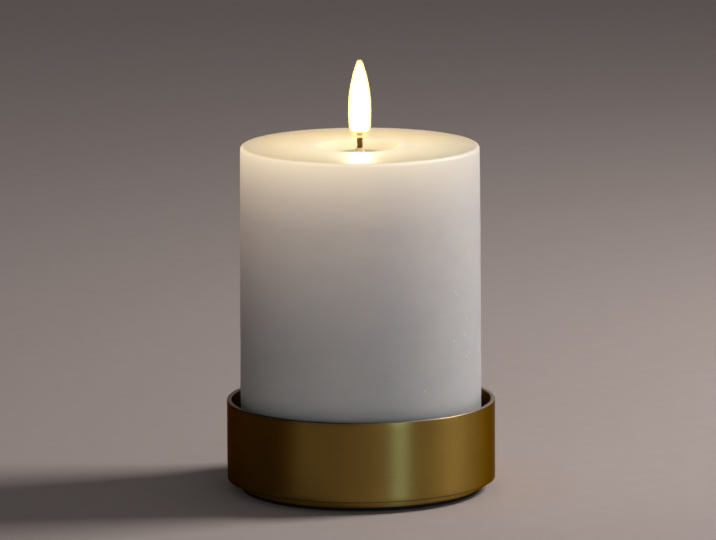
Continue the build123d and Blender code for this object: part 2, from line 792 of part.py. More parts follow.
with BuildPart() as switch_leads:
    for lead_side in (-lead_x, lead_x):
        switch_route = [
            (lead_side, switch_y, switch_top_z),
            (lead_side, switch_y, switch_top_z + switch_lead_straight),
            (lead_side, switch_lead_y, board_z - switch_lead_straight),
            (lead_side, switch_lead_y, board_z),
        ]
        with BuildLine() as switch_lead_path:
            FilletPolyline(*switch_route, radius=bend_radii(switch_route))
        with BuildSketch(Plane.XY.offset(switch_top_z)):
            with Locations((lead_side, switch_y)):
                Circle(lead_d / 2)
        sweep(path=switch_lead_path.line)

print_lead("lamp_leads", lamp_lead_path.wires()[0], lamp_leads.part.solids()[0])
print_lead("switch_leads", switch_lead_path.wires()[0], switch_leads.part.solids()[0])
print("contact_spring self gap", round(spring_self_gap(), 3))
print("candle diameter", round(2 * candle_r, 2), "top", round(2 * wax_top_r, 2), "at", round(wax_top_z, 2))
print("ring diameter", round(2 * ring_r, 2), "rim at", round(rim_z, 2), "tip at", round(flame_z + flame_h, 2))

pieces = {
    "ring_wall": ring_wall,
    "ring_base": ring_base,
    "foot_pad": foot_pad,
    "wax_pillar": wax_pillar,
    "core_sleeve": core_sleeve,
    "battery_housing": battery_housing,
    "battery_cover": battery_cover,
    "bridge_contact": bridge_contact,
    "cell_left": cell_left,
    "cell_right": cell_right,
    "contact_plates": contact_plates,
    "contact_spring": contact_spring,
    "switch_body": switch_body,
    "switch_knob": switch_knob,
    "base_screws": base_screws,
    "candle_feet": candle_feet,
    "control_board": control_board,
    "board_screws": board_screws,
    "timer_chip": timer_chip,
    "timing_crystal": timing_crystal,
    "board_capacitors": board_capacitors,
    "board_resistors": board_resistors,
    "lamp_board": lamp_board,
    "remote_receiver": remote_receiver,
    "wick_holder": wick_holder,
    "wick": wick,
    "flame_led": flame_led,
    "flame_lens": flame_lens,
    "lamp_leads": lamp_leads,
    "switch_leads": switch_leads,
}
for name, piece in pieces.items():
    piece.part.label = name
    export_step(piece.part, f"parts/{name}.step")
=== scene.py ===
# %% [markdown]
# # A brass candle ring and its wax lamp
#
# This lesson dresses a measured model of a candle ring. The ring is turned brass on a stepped base, and a
# wax pillar with an electric flame stands in it. The measured model is loaded as a fixed frame, so each
# piece made here goes where the frame says. Almost everything in view is round, so most pieces are made as
# a wood turner makes a bowl: draw half of the section, then spin it about the upright axis.

# %% Load the measured frame
import json
import math

import bmesh
import bpy
from mathutils import Matrix, Vector, noise


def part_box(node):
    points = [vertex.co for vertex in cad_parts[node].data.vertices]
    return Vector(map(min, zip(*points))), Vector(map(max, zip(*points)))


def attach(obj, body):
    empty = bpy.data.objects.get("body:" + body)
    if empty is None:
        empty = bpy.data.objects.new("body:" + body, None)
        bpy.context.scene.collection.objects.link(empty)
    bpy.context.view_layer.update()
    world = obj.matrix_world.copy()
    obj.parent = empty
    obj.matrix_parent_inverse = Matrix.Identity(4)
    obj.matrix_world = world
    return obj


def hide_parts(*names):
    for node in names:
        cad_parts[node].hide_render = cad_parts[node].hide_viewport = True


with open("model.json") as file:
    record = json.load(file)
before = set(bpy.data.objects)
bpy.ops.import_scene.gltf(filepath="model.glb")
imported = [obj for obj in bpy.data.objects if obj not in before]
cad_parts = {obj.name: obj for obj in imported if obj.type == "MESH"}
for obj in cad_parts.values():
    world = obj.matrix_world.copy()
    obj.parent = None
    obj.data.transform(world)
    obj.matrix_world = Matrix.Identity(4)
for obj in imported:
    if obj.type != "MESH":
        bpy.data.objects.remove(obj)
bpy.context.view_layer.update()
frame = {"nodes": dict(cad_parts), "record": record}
MM = 0.001

# %% [markdown]
# ## Camera
#
# A long lens from about two metres away keeps the rings of the candle nearly flat ellipses, as in the
# photograph. A short lens close by would show more of the top and make the base look small. The tilt, the
# distance and the slight roll were found by matching the rims of the candle and of the ring.

# %% Set the camera
IMAGE_WIDTH = 716
FOCAL_PIXELS = 6657.7
SENSOR_MM = 36.0
CAMERA_PLACE = Vector((-0.776, -2109.7, 439.0)) * MM
CAMERA_TILT = math.radians(90.0 - 9.89)
CAMERA_ROLL = math.radians(-0.26)
FAR_CLIP = 100.0

camera_data = bpy.data.cameras.new("camera")
camera_data.sensor_width = SENSOR_MM
camera_data.lens = FOCAL_PIXELS * SENSOR_MM / IMAGE_WIDTH
camera_data.clip_end = FAR_CLIP
camera = bpy.data.objects.new("camera", camera_data)
bpy.context.scene.collection.objects.link(camera)
camera.matrix_world = (
    Matrix.Translation(CAMERA_PLACE)
    @ Matrix.Rotation(CAMERA_TILT, 4, "X")
    @ Matrix.Rotation(CAMERA_ROLL, 4, "Z")
)
bpy.context.scene.camera = camera
bpy.context.scene.view_settings.view_transform = "Standard"
print("lens:", round(camera_data.lens, 1), "mm")

# %% [markdown]
# ## Turning tools
#
# Four small helpers do the lathe work. An outline is a list of corners, each with a radius, a height and the
# number of cuts on the run to the next corner. An outline that starts on the axis is open and its ends close
# at the poles. One that starts off the axis closes on itself, like the section of a tube. A Screw modifier
# could spin the outline too, but the spin operator leaves a finished mesh that the next steps can bevel.

# %% Helpers that turn a piece
SPIN_STEPS = 256
WELD = 1e-6


def draw_section(outline):
    """Return a bmesh with the outline's runs in the XZ plane, cut into rows."""
    shell = bmesh.new()
    cut_layer = shell.edges.layers.int.new("cuts")
    corners = [shell.verts.new((radius, 0.0, height)) for radius, height, cuts in outline]
    closed = outline[0][0] > 0.0
    ends = corners[1:] + corners[:1] if closed else corners[1:]
    for start, end, (radius, height, cuts) in zip(corners, ends, outline):
        shell.edges.new((start, end))[cut_layer] = cuts
    for count in {cuts for radius, height, cuts in outline if cuts}:
        cut_layer = shell.edges.layers.int["cuts"]
        runs = [edge for edge in shell.edges if edge[cut_layer] == count]
        bmesh.ops.subdivide_edges(shell, edges=runs, cuts=count)
    return shell


def spin_section(shell, steps=SPIN_STEPS):
    """Spin the section into a closed skin and point its faces outwards."""
    bmesh.ops.spin(
        shell, geom=shell.verts[:] + shell.edges[:], cent=(0, 0, 0), axis=(0, 0, 1),
        angle=2 * math.pi, steps=steps, use_merge=True,
    )
    bmesh.ops.remove_doubles(shell, verts=shell.verts[:], dist=WELD)
    bmesh.ops.recalc_face_normals(shell, faces=shell.faces[:])


# %% Helpers that finish a piece
RING_SLACK = 5 * WELD
SHARP_ANGLE = math.radians(35.0)


def round_edge(shell, radius, height, size, segments):
    """Bevel the ring of edges at this radius and height."""

    def on_ring(vertex):
        off_ring = max(abs(vertex.co.xy.length - radius), abs(vertex.co.z - height))
        return off_ring < RING_SLACK

    ring = [edge for edge in shell.edges if all(on_ring(vertex) for vertex in edge.verts)]
    bmesh.ops.bevel(
        shell, geom=ring, offset=size, segments=segments, profile=0.5, affect="EDGES", material=-1,
    )


def finish_piece(shell, name, body, node):
    """Turn the bmesh into a smooth-shaded object that stands for a node of the frame, if one is given."""
    mesh = bpy.data.meshes.new(name)
    shell.to_mesh(mesh)
    shell.free()
    mesh.shade_smooth()
    mesh.set_sharp_from_angle(angle=SHARP_ANGLE)
    piece = bpy.data.objects.new(name, mesh)
    bpy.context.scene.collection.objects.link(piece)
    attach(piece, body)
    if node:
        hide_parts(node)
    print(name, "has", len(mesh.polygons), "faces")
    return piece


# %% [markdown]
# ## The ring's wall
#
# The wall is a piece of brass tube, faced and lightly rounded at the rim, with a rebate inside its lower end
# where the base plate is soldered in. The rounded rim matters most: it is only half a millimetre, but it
# shows as a thin line all round, bright on the right where it meets the light.

# %% Turn the ring's wall
wall_low, wall_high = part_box("ring_wall")
base_low, base_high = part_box("ring_base")
RING_RADIUS = wall_high.x
RING_BORE = RING_RADIUS - 1.5 * MM
REBATE_RADIUS = RING_BORE + 0.6 * MM
RIM_ROUND = 0.45 * MM
SKIRT_ROUND = 0.25 * MM
FLOOR_Z = base_high.z

wall = draw_section([
    (RING_RADIUS, wall_low.z, 12),
    (RING_RADIUS, wall_high.z, 0),
    (RING_BORE, wall_high.z, 12),
    (RING_BORE, FLOOR_Z, 0),
    (REBATE_RADIUS, FLOOR_Z, 0),
    (REBATE_RADIUS, wall_low.z, 0),
])
spin_section(wall)
round_edge(wall, RING_RADIUS, wall_high.z, RIM_ROUND, segments=5)
round_edge(wall, RING_BORE, wall_high.z, RIM_ROUND, segments=5)
round_edge(wall, RING_RADIUS, wall_low.z, SKIRT_ROUND, segments=3)
brass_wall = finish_piece(wall, "brass_wall", "ring", "ring_wall")

# %% [markdown]
# ## The base plate and the pad
#
# Below the wall the base steps in, so a narrow brass band shows under a thin seam, darkened by painted shade,
# and under that the ring seems to float on a black pad. The step's lower corner is rounded off and the plate's
# upper edge is broken by a fine bevel, because no turned edge is perfectly sharp.

# %% Turn the base plate
pad_low, pad_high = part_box("foot_pad")
STEP_RADIUS = RING_RADIUS - 3.75 * MM
RECESS_RADIUS = pad_high.x + 0.15 * MM
STEP_ROUND = 0.4 * MM
EDGE_BREAK = 0.12 * MM

base = draw_section([
    (0.0, pad_high.z, 4),
    (RECESS_RADIUS, pad_high.z, 0),
    (RECESS_RADIUS, base_low.z, 0),
    (STEP_RADIUS, base_low.z, 0),
    (STEP_RADIUS, wall_low.z, 0),
    (base_high.x, wall_low.z, 0),
    (base_high.x, FLOOR_Z, 0),
    (0.0, FLOOR_Z, 0),
])
spin_section(base)
round_edge(base, STEP_RADIUS, base_low.z, STEP_ROUND, segments=2)
round_edge(base, base_high.x, FLOOR_Z, EDGE_BREAK, segments=2)
brass_base = finish_piece(base, "brass_base", "ring", "ring_base")

# %% Turn the foot pad
PAD_ROUND = 0.3 * MM

pad = draw_section([
    (0.0, pad_low.z, 12),
    (pad_high.x, pad_low.z, 0),
    (pad_high.x, pad_high.z, 0),
    (0.0, pad_high.z, 0),
])
spin_section(pad)
round_edge(pad, pad_high.x, pad_low.z, PAD_ROUND, segments=3)
grip_pad = finish_piece(pad, "grip_pad", "ring", "foot_pad")

# %% [markdown]
# ## The wax pillar
#
# Moulded wax is never as true as turned metal. The side swells a little in the middle, the rim is soft, and
# the top dips round the wick where a real candle would melt, with a little wax creeping up the wick. The
# section is drawn with straight runs first. Then the side, the dip and the creep are bent to their curves,
# and after the spin a gentle noise moves the skin by a tenth of a millimetre, so that reflections on it
# wander as they do on wax.

# %% Turn the wax
wax_low, wax_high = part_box("wax_pillar")
WAX_FOOT = RING_BORE - 2.95 * MM
WAX_TOP = WAX_FOOT - 0.45 * MM
WAX_SWELL = 0.15 * MM
WAX_BORE = WAX_FOOT - 5.9 * MM
WAX_SKIRT = WAX_FOOT - 2.2 * MM
SKIRT_TOP_Z = wax_low.z + 2.4 * MM
CEILING_Z = wax_high.z - 7.7 * MM
POOL_RADIUS = 13.0 * MM
POOL_DEPTH = 3.0 * MM
WICK_HOLE = 1.2 * MM
CREEP_RADIUS = WICK_HOLE + 1.8 * MM
CREEP_RISE = 2.3 * MM
WAX_RIM_ROUND = 1.1 * MM
POOL_LIP_ROUND = 1.5 * MM

wax = draw_section([
    (WAX_FOOT, wax_low.z, 84),
    (WAX_TOP, wax_high.z, 12),
    (POOL_RADIUS, wax_high.z, 10),
    (CREEP_RADIUS, wax_high.z - POOL_DEPTH, 5),
    (WICK_HOLE, wax_high.z - POOL_DEPTH + CREEP_RISE, 0),
    (WICK_HOLE, CEILING_Z, 0),
    (WAX_BORE, CEILING_Z, 0),
    (WAX_BORE, SKIRT_TOP_Z, 0),
    (WAX_SKIRT, SKIRT_TOP_Z, 0),
    (WAX_SKIRT, wax_low.z, 0),
])
print("wax section has", len(wax.verts), "points")

# %% Bend the side and the pool, then spin
pool_floor = wax_high.z - POOL_DEPTH
pool_reach = POOL_RADIUS - CREEP_RADIUS
pool_bend = (pool_reach**2 + POOL_DEPTH**2) / (2 * POOL_DEPTH)
for vertex in wax.verts:
    share = (vertex.co.z - wax_low.z) / (wax_high.z - wax_low.z)
    if vertex.co.x > WAX_SKIRT + WELD:
        vertex.co.x += WAX_SWELL * 4 * share * (1 - share)
    elif vertex.co.x < POOL_RADIUS - WELD and vertex.co.z > CEILING_Z + WELD:
        across = vertex.co.x - CREEP_RADIUS
        if across > 0.0:
            vertex.co.z = pool_floor + pool_bend - math.sqrt(pool_bend**2 - across**2)
        else:
            vertex.co.z = pool_floor + CREEP_RISE * (across / (CREEP_RADIUS - WICK_HOLE)) ** 2
spin_section(wax)
round_edge(wax, WAX_TOP, wax_high.z, WAX_RIM_ROUND, segments=6)
round_edge(wax, POOL_RADIUS, wax_high.z, POOL_LIP_ROUND, segments=5)
print("pool bends on a radius of", round(pool_bend / MM, 1), "mm")

# %% Let the skin wander
WAX_WANDER = 0.09 * MM
WANDER_SCALE = 70.0

for vertex in wax.verts:
    outside = vertex.co.xy.length > WAX_SKIRT + WELD or vertex.co.z > wax_high.z - WAX_RIM_ROUND
    if outside and vertex.co.z > wax_low.z + WELD and vertex.co.xy.length > POOL_RADIUS:
        vertex.co.xy *= 1 + WAX_WANDER / WAX_FOOT * noise.noise(vertex.co * WANDER_SCALE)
widest = max(vertex.co.xy.length for vertex in wax.verts)
print("wax reaches", round(widest / MM, 2), "mm from the axis")

# %% [markdown]
# A few crumbs of wax stick to the side, as they do on any pillar that was rubbed in its wrapping. Each one
# is a face of the skin, inset twice and pushed out, so it stays part of the same closed shell. A mark on the
# crumb's faces lets the finish make it a little whiter.

# %% Stick on the crumbs
CRUMB_INSET = 0.26 * MM
CRUMB_EDGE = 0.12 * MM
CRUMB_RISE = 0.05 * MM
CRUMBS = (  # degrees to the right of the front, and height in millimetres
    (52.0, 68.4), (52.5, 66.5), (61.0, 58.0), (59.0, 53.4), (49.5, 52.3), (62.0, 47.5), (61.5, 45.8),
    (32.0, 37.4), (-128.0, 61.0), (150.0, 44.0), (-74.0, 82.0),
)

crumb_mark = wax.faces.layers.float.new("crumb")
for degrees, height in CRUMBS:
    angle = math.radians(degrees)
    spot = Vector((WAX_FOOT * math.sin(angle), -WAX_FOOT * math.cos(angle), height * MM))
    min(wax.faces, key=lambda face: (face.calc_center_median() - spot).length)[crumb_mark] = 1.0
patches = [face for face in wax.faces if face[crumb_mark]]
borders = bmesh.ops.inset_individual(wax, faces=patches, thickness=CRUMB_INSET, depth=0.0)["faces"]
crumb_mark = wax.faces.layers.float["crumb"]
for face in borders:
    face[crumb_mark] = 0.0
crumbs = [face for face in wax.faces if face[crumb_mark]]
bmesh.ops.inset_individual(wax, faces=crumbs, thickness=CRUMB_EDGE, depth=CRUMB_RISE)
print("crumbs on the wax:", len(crumbs))
wax_body = finish_piece(wax, "wax_body", "candle", "wax_pillar")

# %% [markdown]
# ## The wick
#
# The wick is a stiff sleeve that hides two wires, moulded to look like a twisted cotton cord. Three strands
# twist round each other, so each point of a plain rod is drawn in between them, and only ever inwards,
# because the sleeve has to pass through the wax and into the lens.

# %% Turn and twist the wick
wick_low, wick_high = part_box("wick")
WICK_RADIUS = wick_high.x
STRANDS = 3
STRAND_DEPTH = 0.16 * MM
TWIST_LENGTH = 7.0 * MM
WICK_STEPS = 48

rod = draw_section([
    (0.0, wick_low.z, 0),
    (WICK_RADIUS, wick_low.z, 96),
    (WICK_RADIUS, wick_high.z, 0),
    (0.0, wick_high.z, 0),
])
spin_section(rod, steps=WICK_STEPS)
for vertex in rod.verts:
    turn = math.atan2(vertex.co.y, vertex.co.x) - 2 * math.pi * vertex.co.z / TWIST_LENGTH
    valley = (0.5 - 0.5 * math.cos(STRANDS * turn)) ** 2
    vertex.co.xy *= 1 - STRAND_DEPTH / WICK_RADIUS * valley
wick_stalk = finish_piece(rod, "wick_stalk", "candle", "wick")

# %% [markdown]
# ## The flame
#
# The flame is a small bullet of frosted plastic with a light chip inside its lower end. Seen lit, it has two
# layers: a bright middle and a thin warm skin, which is clear enough at the heel for the wick to show. So it
# is made as two nested turned shapes. One shape with one glow would look like a paper cut-out, since every
# part of it would clip to the same white.

# %% Draw the flame's outline
lens_low, lens_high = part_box("flame_lens")
LENS_RADIUS = lens_high.x
BELLY_Z = lens_low.z + 9.0 * MM
HEEL_RADIUS = 3.2 * MM
TIP_RADIUS = 1.0 * MM

rise = lens_high.z - TIP_RADIUS - BELLY_Z
ogive_bend = (rise**2 + LENS_RADIUS**2 - TIP_RADIUS**2) / (2 * (LENS_RADIUS - TIP_RADIUS))
tip_start_z = lens_high.z - TIP_RADIUS + TIP_RADIUS / (ogive_bend - TIP_RADIUS) * rise
heel_drop = BELLY_Z - lens_low.z
heel_bend = (heel_drop**2 + (LENS_RADIUS - HEEL_RADIUS) ** 2) / (2 * (LENS_RADIUS - HEEL_RADIUS))


def lens_radius(height):
    """Return the lens's radius at a height: an ogive above the belly, a slow curve below, a round tip."""
    if height > tip_start_z:
        return math.sqrt(max(0.0, TIP_RADIUS**2 - (height - lens_high.z + TIP_RADIUS) ** 2))
    bend = ogive_bend if height > BELLY_Z else heel_bend
    return LENS_RADIUS - bend + math.sqrt(bend**2 - (height - BELLY_Z) ** 2)


print("flame bends on", round(ogive_bend / MM, 1), "mm above the belly and", round(heel_bend / MM, 1), "below")

# %% Turn the flame's skin
HEEL_ROUND = 2.0 * MM
HEEL_ROW = 2.4 * MM
MOUTH_RADIUS = 0.95 * MM
CHIP_ROOM_RADIUS = 1.2 * MM
CHIP_ROOM_Z = wick_high.z + 1.4 * MM
FLAME_STEPS = 96

skin = draw_section([
    (0.0, lens_high.z, 60),
    (LENS_RADIUS, BELLY_Z, 8),
    (lens_radius(lens_low.z + HEEL_ROW), lens_low.z + HEEL_ROW, 0),
    (HEEL_RADIUS, lens_low.z, 0),
    (MOUTH_RADIUS, lens_low.z, 0),
    (MOUTH_RADIUS, wick_high.z, 0),
    (CHIP_ROOM_RADIUS, wick_high.z, 0),
    (CHIP_ROOM_RADIUS, CHIP_ROOM_Z, 0),
    (0.0, CHIP_ROOM_Z, 0),
])
for vertex in skin.verts:
    if vertex.co.z > max(lens_low.z + HEEL_ROW - WELD, CHIP_ROOM_Z + WELD):
        vertex.co.x = lens_radius(vertex.co.z)
spin_section(skin, steps=FLAME_STEPS)
round_edge(skin, HEEL_RADIUS, lens_low.z, HEEL_ROUND, segments=6)
lens_skin = finish_piece(skin, "lens_skin", "candle", "flame_lens")

# %% Turn the flame's bright middle
SKIN_THICKNESS = 0.75 * MM
GLOW_FOOT_Z = wick_high.z + 0.15 * MM
GLOW_ROOM_RADIUS = CHIP_ROOM_RADIUS + 0.2 * MM
GLOW_ROOM_Z = CHIP_ROOM_Z + 0.2 * MM
GLOW_TIP_Z = lens_high.z - 0.8 * MM
GLOW_FOOT_ROUND = 0.5 * MM
GLOW_LEAST_RADIUS = 0.1 * MM

glow_foot_radius = lens_radius(GLOW_FOOT_Z) - SKIN_THICKNESS
glow = draw_section([
    (0.0, GLOW_TIP_Z, 48),
    (glow_foot_radius, GLOW_FOOT_Z, 0),
    (GLOW_ROOM_RADIUS, GLOW_FOOT_Z, 0),
    (GLOW_ROOM_RADIUS, GLOW_ROOM_Z, 0),
    (0.0, GLOW_ROOM_Z, 0),
])
straight_fall = glow_foot_radius / (GLOW_TIP_Z - GLOW_FOOT_Z)
for vertex in glow.verts:
    on_outside = abs(vertex.co.x - straight_fall * (GLOW_TIP_Z - vertex.co.z)) < WELD
    if on_outside and vertex.co.x > WELD:
        vertex.co.x = max(lens_radius(vertex.co.z) - SKIN_THICKNESS, GLOW_LEAST_RADIUS)
spin_section(glow, steps=FLAME_STEPS)
round_edge(glow, glow_foot_radius, GLOW_FOOT_Z, GLOW_FOOT_ROUND, segments=3)
lens_glow = finish_piece(glow, "lens_glow", "candle", None)

# %% [markdown]
# ## Tools for finishes
#
# Each finish is a Principled shader with a few textures on it. The textures read Object coordinates, which
# are metres in the frame, so a scale of 1000 gives one feature to a millimetre. A value that is the same all
# over the piece is set straight on the shader, where an exporter can find it.


# %% Helpers that start a finish
def new_finish(name, values):
    """Return a material, its node tree and its shader, with plain values set on the shader."""
    material = bpy.data.materials.new(name)
    material.use_nodes = True
    shader = material.node_tree.nodes["Principled BSDF"]
    for socket, value in values.items():
        shader.inputs[socket].default_value = value
    return material, material.node_tree, shader


def add_node(tree, kind, values=None):
    """Add a node and set its unlinked inputs by name."""
    node = tree.nodes.new(kind)
    for socket, value in (values or {}).items():
        node.inputs[socket].default_value = value
    return node


# %% Helpers that vary a finish
NOISE_SPAN = (0.3, 0.7)  # most of a noise lies between these


def grain(tree, scale, detail=3.0, roughness=0.5):
    """Return a noise value on Object coordinates, with its own scale for each axis in features per metre."""
    place = add_node(tree, "ShaderNodeTexCoord")
    stretch = add_node(tree, "ShaderNodeMapping", {"Scale": scale})
    texture = add_node(tree, "ShaderNodeTexNoise", {"Scale": 1.0, "Detail": detail, "Roughness": roughness})
    tree.links.new(place.outputs["Object"], stretch.inputs["Vector"])
    tree.links.new(stretch.outputs["Vector"], texture.inputs["Vector"])
    return texture.outputs[0]


def colours(tree, factor, stops, fade="LINEAR"):
    """Return a colour from a ramp of (position, colour) stops."""
    ramp = add_node(tree, "ShaderNodeValToRGB")
    ramp.color_ramp.interpolation = fade
    points = ramp.color_ramp.elements
    while len(points) < len(stops):
        points.new(1.0)
    for point, (position, colour) in zip(points, stops):
        point.position = position
        point.color = (*colour, 1.0)
    tree.links.new(factor, ramp.inputs["Fac"])
    return ramp.outputs["Color"]


def two_tones(tree, texture, dark, light):
    """Return a colour that follows a noise from a dark tone to a light one."""
    return colours(tree, texture, list(zip(NOISE_SPAN, (dark, light))))


def spread(tree, factor, low, high):
    """Return the factor moved from 0..1 to low..high."""
    span = add_node(tree, "ShaderNodeMapRange", {"To Min": low, "To Max": high})
    tree.links.new(factor, span.inputs["Value"])
    return span.outputs["Result"]


def relief(tree, shader, height, distance, strength):
    """Let a height texture tilt the surface."""
    bump = add_node(tree, "ShaderNodeBump", {"Distance": distance, "Strength": strength})
    tree.links.new(height, bump.inputs["Height"])
    tree.links.new(bump.outputs["Normal"], shader.inputs["Normal"])


# %% [markdown]
# ## Brushed brass
#
# The ring was brushed while it turned, so fine lines run round it. Lines that run round a wall smear each
# reflection up and down, which is why a window shows as a tall soft band. The Anisotropic setting does the
# smearing, with a tangent that runs round the axis, and a noise stretched into rings gives the lines.
# A painted shade darkens a thin line along the seam between the wall and the base, where the overhang
# shades it, and the base's brass is painted a little lighter than the wall's, for the brighter reflection it
# shows. The rim's flat top was only faced and sanded, so it is paler and partly matt, and it gets a brass of
# its own. A ramp round the axis paints a darker reflection on that brass along the front, where it would mirror
# a dark part of a room.


# %% Helpers that read a place
def height_share(tree, low, high, axis="Z"):
    """Return 0 at one height of the frame and 1 at another, or the same along another axis."""
    place = add_node(tree, "ShaderNodeTexCoord")
    split = add_node(tree, "ShaderNodeSeparateXYZ")
    span = add_node(tree, "ShaderNodeMapRange", {"From Min": low, "From Max": high})
    tree.links.new(place.outputs["Object"], split.inputs["Vector"])
    tree.links.new(split.outputs[axis], span.inputs["Value"])
    return span.outputs["Result"]


def times(tree, first, second):
    """Return two colours multiplied."""
    product = add_node(tree, "ShaderNodeVectorMath")
    product.operation = "MULTIPLY"
    tree.links.new(first, product.inputs[0])
    tree.links.new(second, product.inputs[1])
    return product.outputs["Vector"]


def greys(levels):
    """Turn (position, level) pairs into the stops of a grey ramp."""
    return [(position, (level,) * 3) for position, level in levels]


# %% Helpers for the compass
FRONT_TURN = 0.25  # what the radial gradient gives at the front


def around(tree, place):
    """Return a value that goes from 0 to 1 once round the upright axis."""
    turn = add_node(tree, "ShaderNodeTexGradient")
    turn.gradient_type = "RADIAL"
    tree.links.new(place, turn.inputs["Vector"])
    return turn.outputs["Fac"]


def compass(readings):
    """Turn (degrees to the right of the front, colour) readings into a ramp's stops, with its ends alike."""
    stops = sorted(((FRONT_TURN + degrees / 360.0) % 1.0, colour) for degrees, colour in readings)
    return stops + [(1.0, stops[0][1])]


# %% Choose the shades of the brass
# Painted shade: a thin dark line along the seam, where the wall's overhang shades the base.
SEAM_PAINTED_SHADE = (  # millimetres above the wall's lower end, and how much of the brass's own tone is left
    (-0.9, 1.0), (-0.3, 0.40), (0.2, 0.45), (0.6, 1.0),
)
RIM_TINT = Vector((1.0, 0.95, 0.90))
# Painted reflection: the rim is darker along the front, where it would mirror a dark part of a room.
RIM_PAINTED_REFLECTION = (  # degrees to the right of the front, and how much of the rim's own tone is left
    (-180.0, 1.0), (-74.0, 1.0), (-64.0, 0.6), (-56.0, 0.32), (-48.0, 0.14), (-12.0, 0.12), (4.0, 0.18),
    (12.0, 0.45), (20.0, 0.75), (27.0, 1.0),
)


def painted_seam_shade(tree):
    """Return the painted shade along the seam between the wall and the base, where the overhang shades it."""
    stops = greys(((wall_low.z + rise * MM) / wall_high.z, shade) for rise, shade in SEAM_PAINTED_SHADE)
    return colours(tree, height_share(tree, 0.0, wall_high.z), stops)


def painted_rim_reflection(tree):
    """Return the painted reflection on the rim all round: darker along the front, where it would mirror a dark
    room.
    """
    place = add_node(tree, "ShaderNodeTexCoord")
    stops = compass((degrees, tuple(RIM_TINT * shade)) for degrees, shade in RIM_PAINTED_REFLECTION)
    return colours(tree, around(tree, place.outputs["Object"]), stops)


print("shades:", len(SEAM_PAINTED_SHADE), "at the seam and", len(RIM_PAINTED_REFLECTION), "round the rim")

# %% Helper that makes brass
BRUSH_LINES = (30.0, 30.0, 5200.0)
TARNISH_CLOUDS = (45.0, 45.0, 60.0)
BRASS_ROUGHNESS = (0.22, 0.44)
BRUSH_DEPTH = 0.02 * MM


def brushed_brass(name, tones, values, shade):
    """Warm metal with fine lines round the axis, a little tarnish and a painted shade of its own."""
    material, tree, shader = new_finish(name, values)
    lines = grain(tree, BRUSH_LINES, detail=4.0, roughness=0.6)
    tarnish = grain(tree, TARNISH_CLOUDS, detail=5.0, roughness=0.6)
    patina = add_node(tree, "ShaderNodeMix", {"Factor": 0.5})
    tree.links.new(tarnish, patina.inputs["A"])
    tree.links.new(lines, patina.inputs["B"])
    tone = two_tones(tree, patina.outputs["Result"], *tones)
    # The shade passed in is painted: shade along the seam, or a darker reflection round the rim.
    painted_shading = shade(tree)
    tree.links.new(times(tree, tone, painted_shading), shader.inputs["Base Color"])
    if "Specular Tint" not in values:  # then the shade dims the mirror at the edge too
        tree.links.new(painted_shading, shader.inputs["Specular Tint"])
    tree.links.new(spread(tree, lines, *BRASS_ROUGHNESS), shader.inputs["Roughness"])
    relief(tree, shader, lines, BRUSH_DEPTH, strength=0.22)
    tangent = add_node(tree, "ShaderNodeTangent")
    tangent.direction_type = "RADIAL"
    tangent.axis = "Z"
    tree.links.new(tangent.outputs["Tangent"], shader.inputs["Tangent"])
    return material


# %% Put the brass on
WALL_TONES = ((0.30, 0.197, 0.0465), (0.38, 0.249, 0.059))
# The base's tones are painted lighter than the wall's, for the brighter reflection that the base shows.
BASE_TONES_PAINTED_LIGHTER = ((0.40, 0.263, 0.064), (0.50, 0.33, 0.08))
RIM_TONES = ((0.46, 0.368, 0.311), (0.54, 0.43, 0.367))
BRUSHED = {
    "Metallic": 1.0, "Anisotropic": 0.88, "Anisotropic Rotation": 0.25,
    "Specular Tint": (0.48, 0.34, 0.18, 1.0),
}
FACED = {"Metallic": 0.4}
FACED_DEPTH = RIM_ROUND * 0.35

brass_wall.data.materials.append(brushed_brass("brushed_brass", WALL_TONES, BRUSHED, painted_seam_shade))
brass_wall.data.materials.append(brushed_brass("faced_brass", RIM_TONES, FACED, painted_rim_reflection))
brass_base.data.materials.append(brushed_brass("base_brass", BASE_TONES_PAINTED_LIGHTER, BRUSHED, painted_seam_shade))
rim_faces = [face for face in brass_wall.data.polygons if face.center.z > wall_high.z - FACED_DEPTH]
for face in rim_faces:
    face.material_index = 1
print("brass on", brass_wall.name, "and", brass_base.name, "with", len(rim_faces), "faces on the rim")

# %% [markdown]
# ## Soft black foam
#
# The pad under the ring is closed-cell foam. Its pores are a fraction of a millimetre, so a fine noise lifts
# and dips the surface and changes its tone slightly.

# %% Make the foam
FOAM_TONES = ((0.35, (0.004, 0.004, 0.004)), (0.65, (0.014, 0.013, 0.012)))
PORES_PER_METRE = 2600.0
PORE_DEPTH = 0.2 * MM


def black_foam():
    """Matt black foam with small pores."""
    material, tree, shader = new_finish("black_foam", {"Roughness": 0.92})
    pores = grain(tree, (PORES_PER_METRE,) * 3, detail=2.0)
    tree.links.new(colours(tree, pores, FOAM_TONES), shader.inputs["Base Color"])
    relief(tree, shader, pores, PORE_DEPTH, strength=0.6)
    return material


grip_pad.data.materials.append(black_foam())
print("foam on", grip_pad.name)

# %% [markdown]
# ## Wax
#
# Paraffin wax is a warm white that lets light a few millimetres in, so shadows on it are soft. The lamp on
# the wick also shines down into it: the wax glows near the rim and fades over about six centimetres. A
# renderer would need a long time to find that light through the wax, so a ramp on the height gives the glow.
# A second ramp, on the distance from the wick, spreads it over the top and leaves it out near the wick, where
# the flame's own light falls. A third one, from left to right, takes some of it off the side that the daylight
# makes bright already, since the eye and the camera press bright tones together. A painted shade makes the pool
# and the back half a little darker and warmer than the rest, as the light falls there. Wax that is poured into
# a cool mould sets in thin layers, so faint level lines run round it. They are a stretched noise in the relief
# and in the tone.

# %% Helpers for the glow
MIX_INPUTS = (0, 6, 7)  # a mix node's factor and its two colours
MIX_RESULT = 2


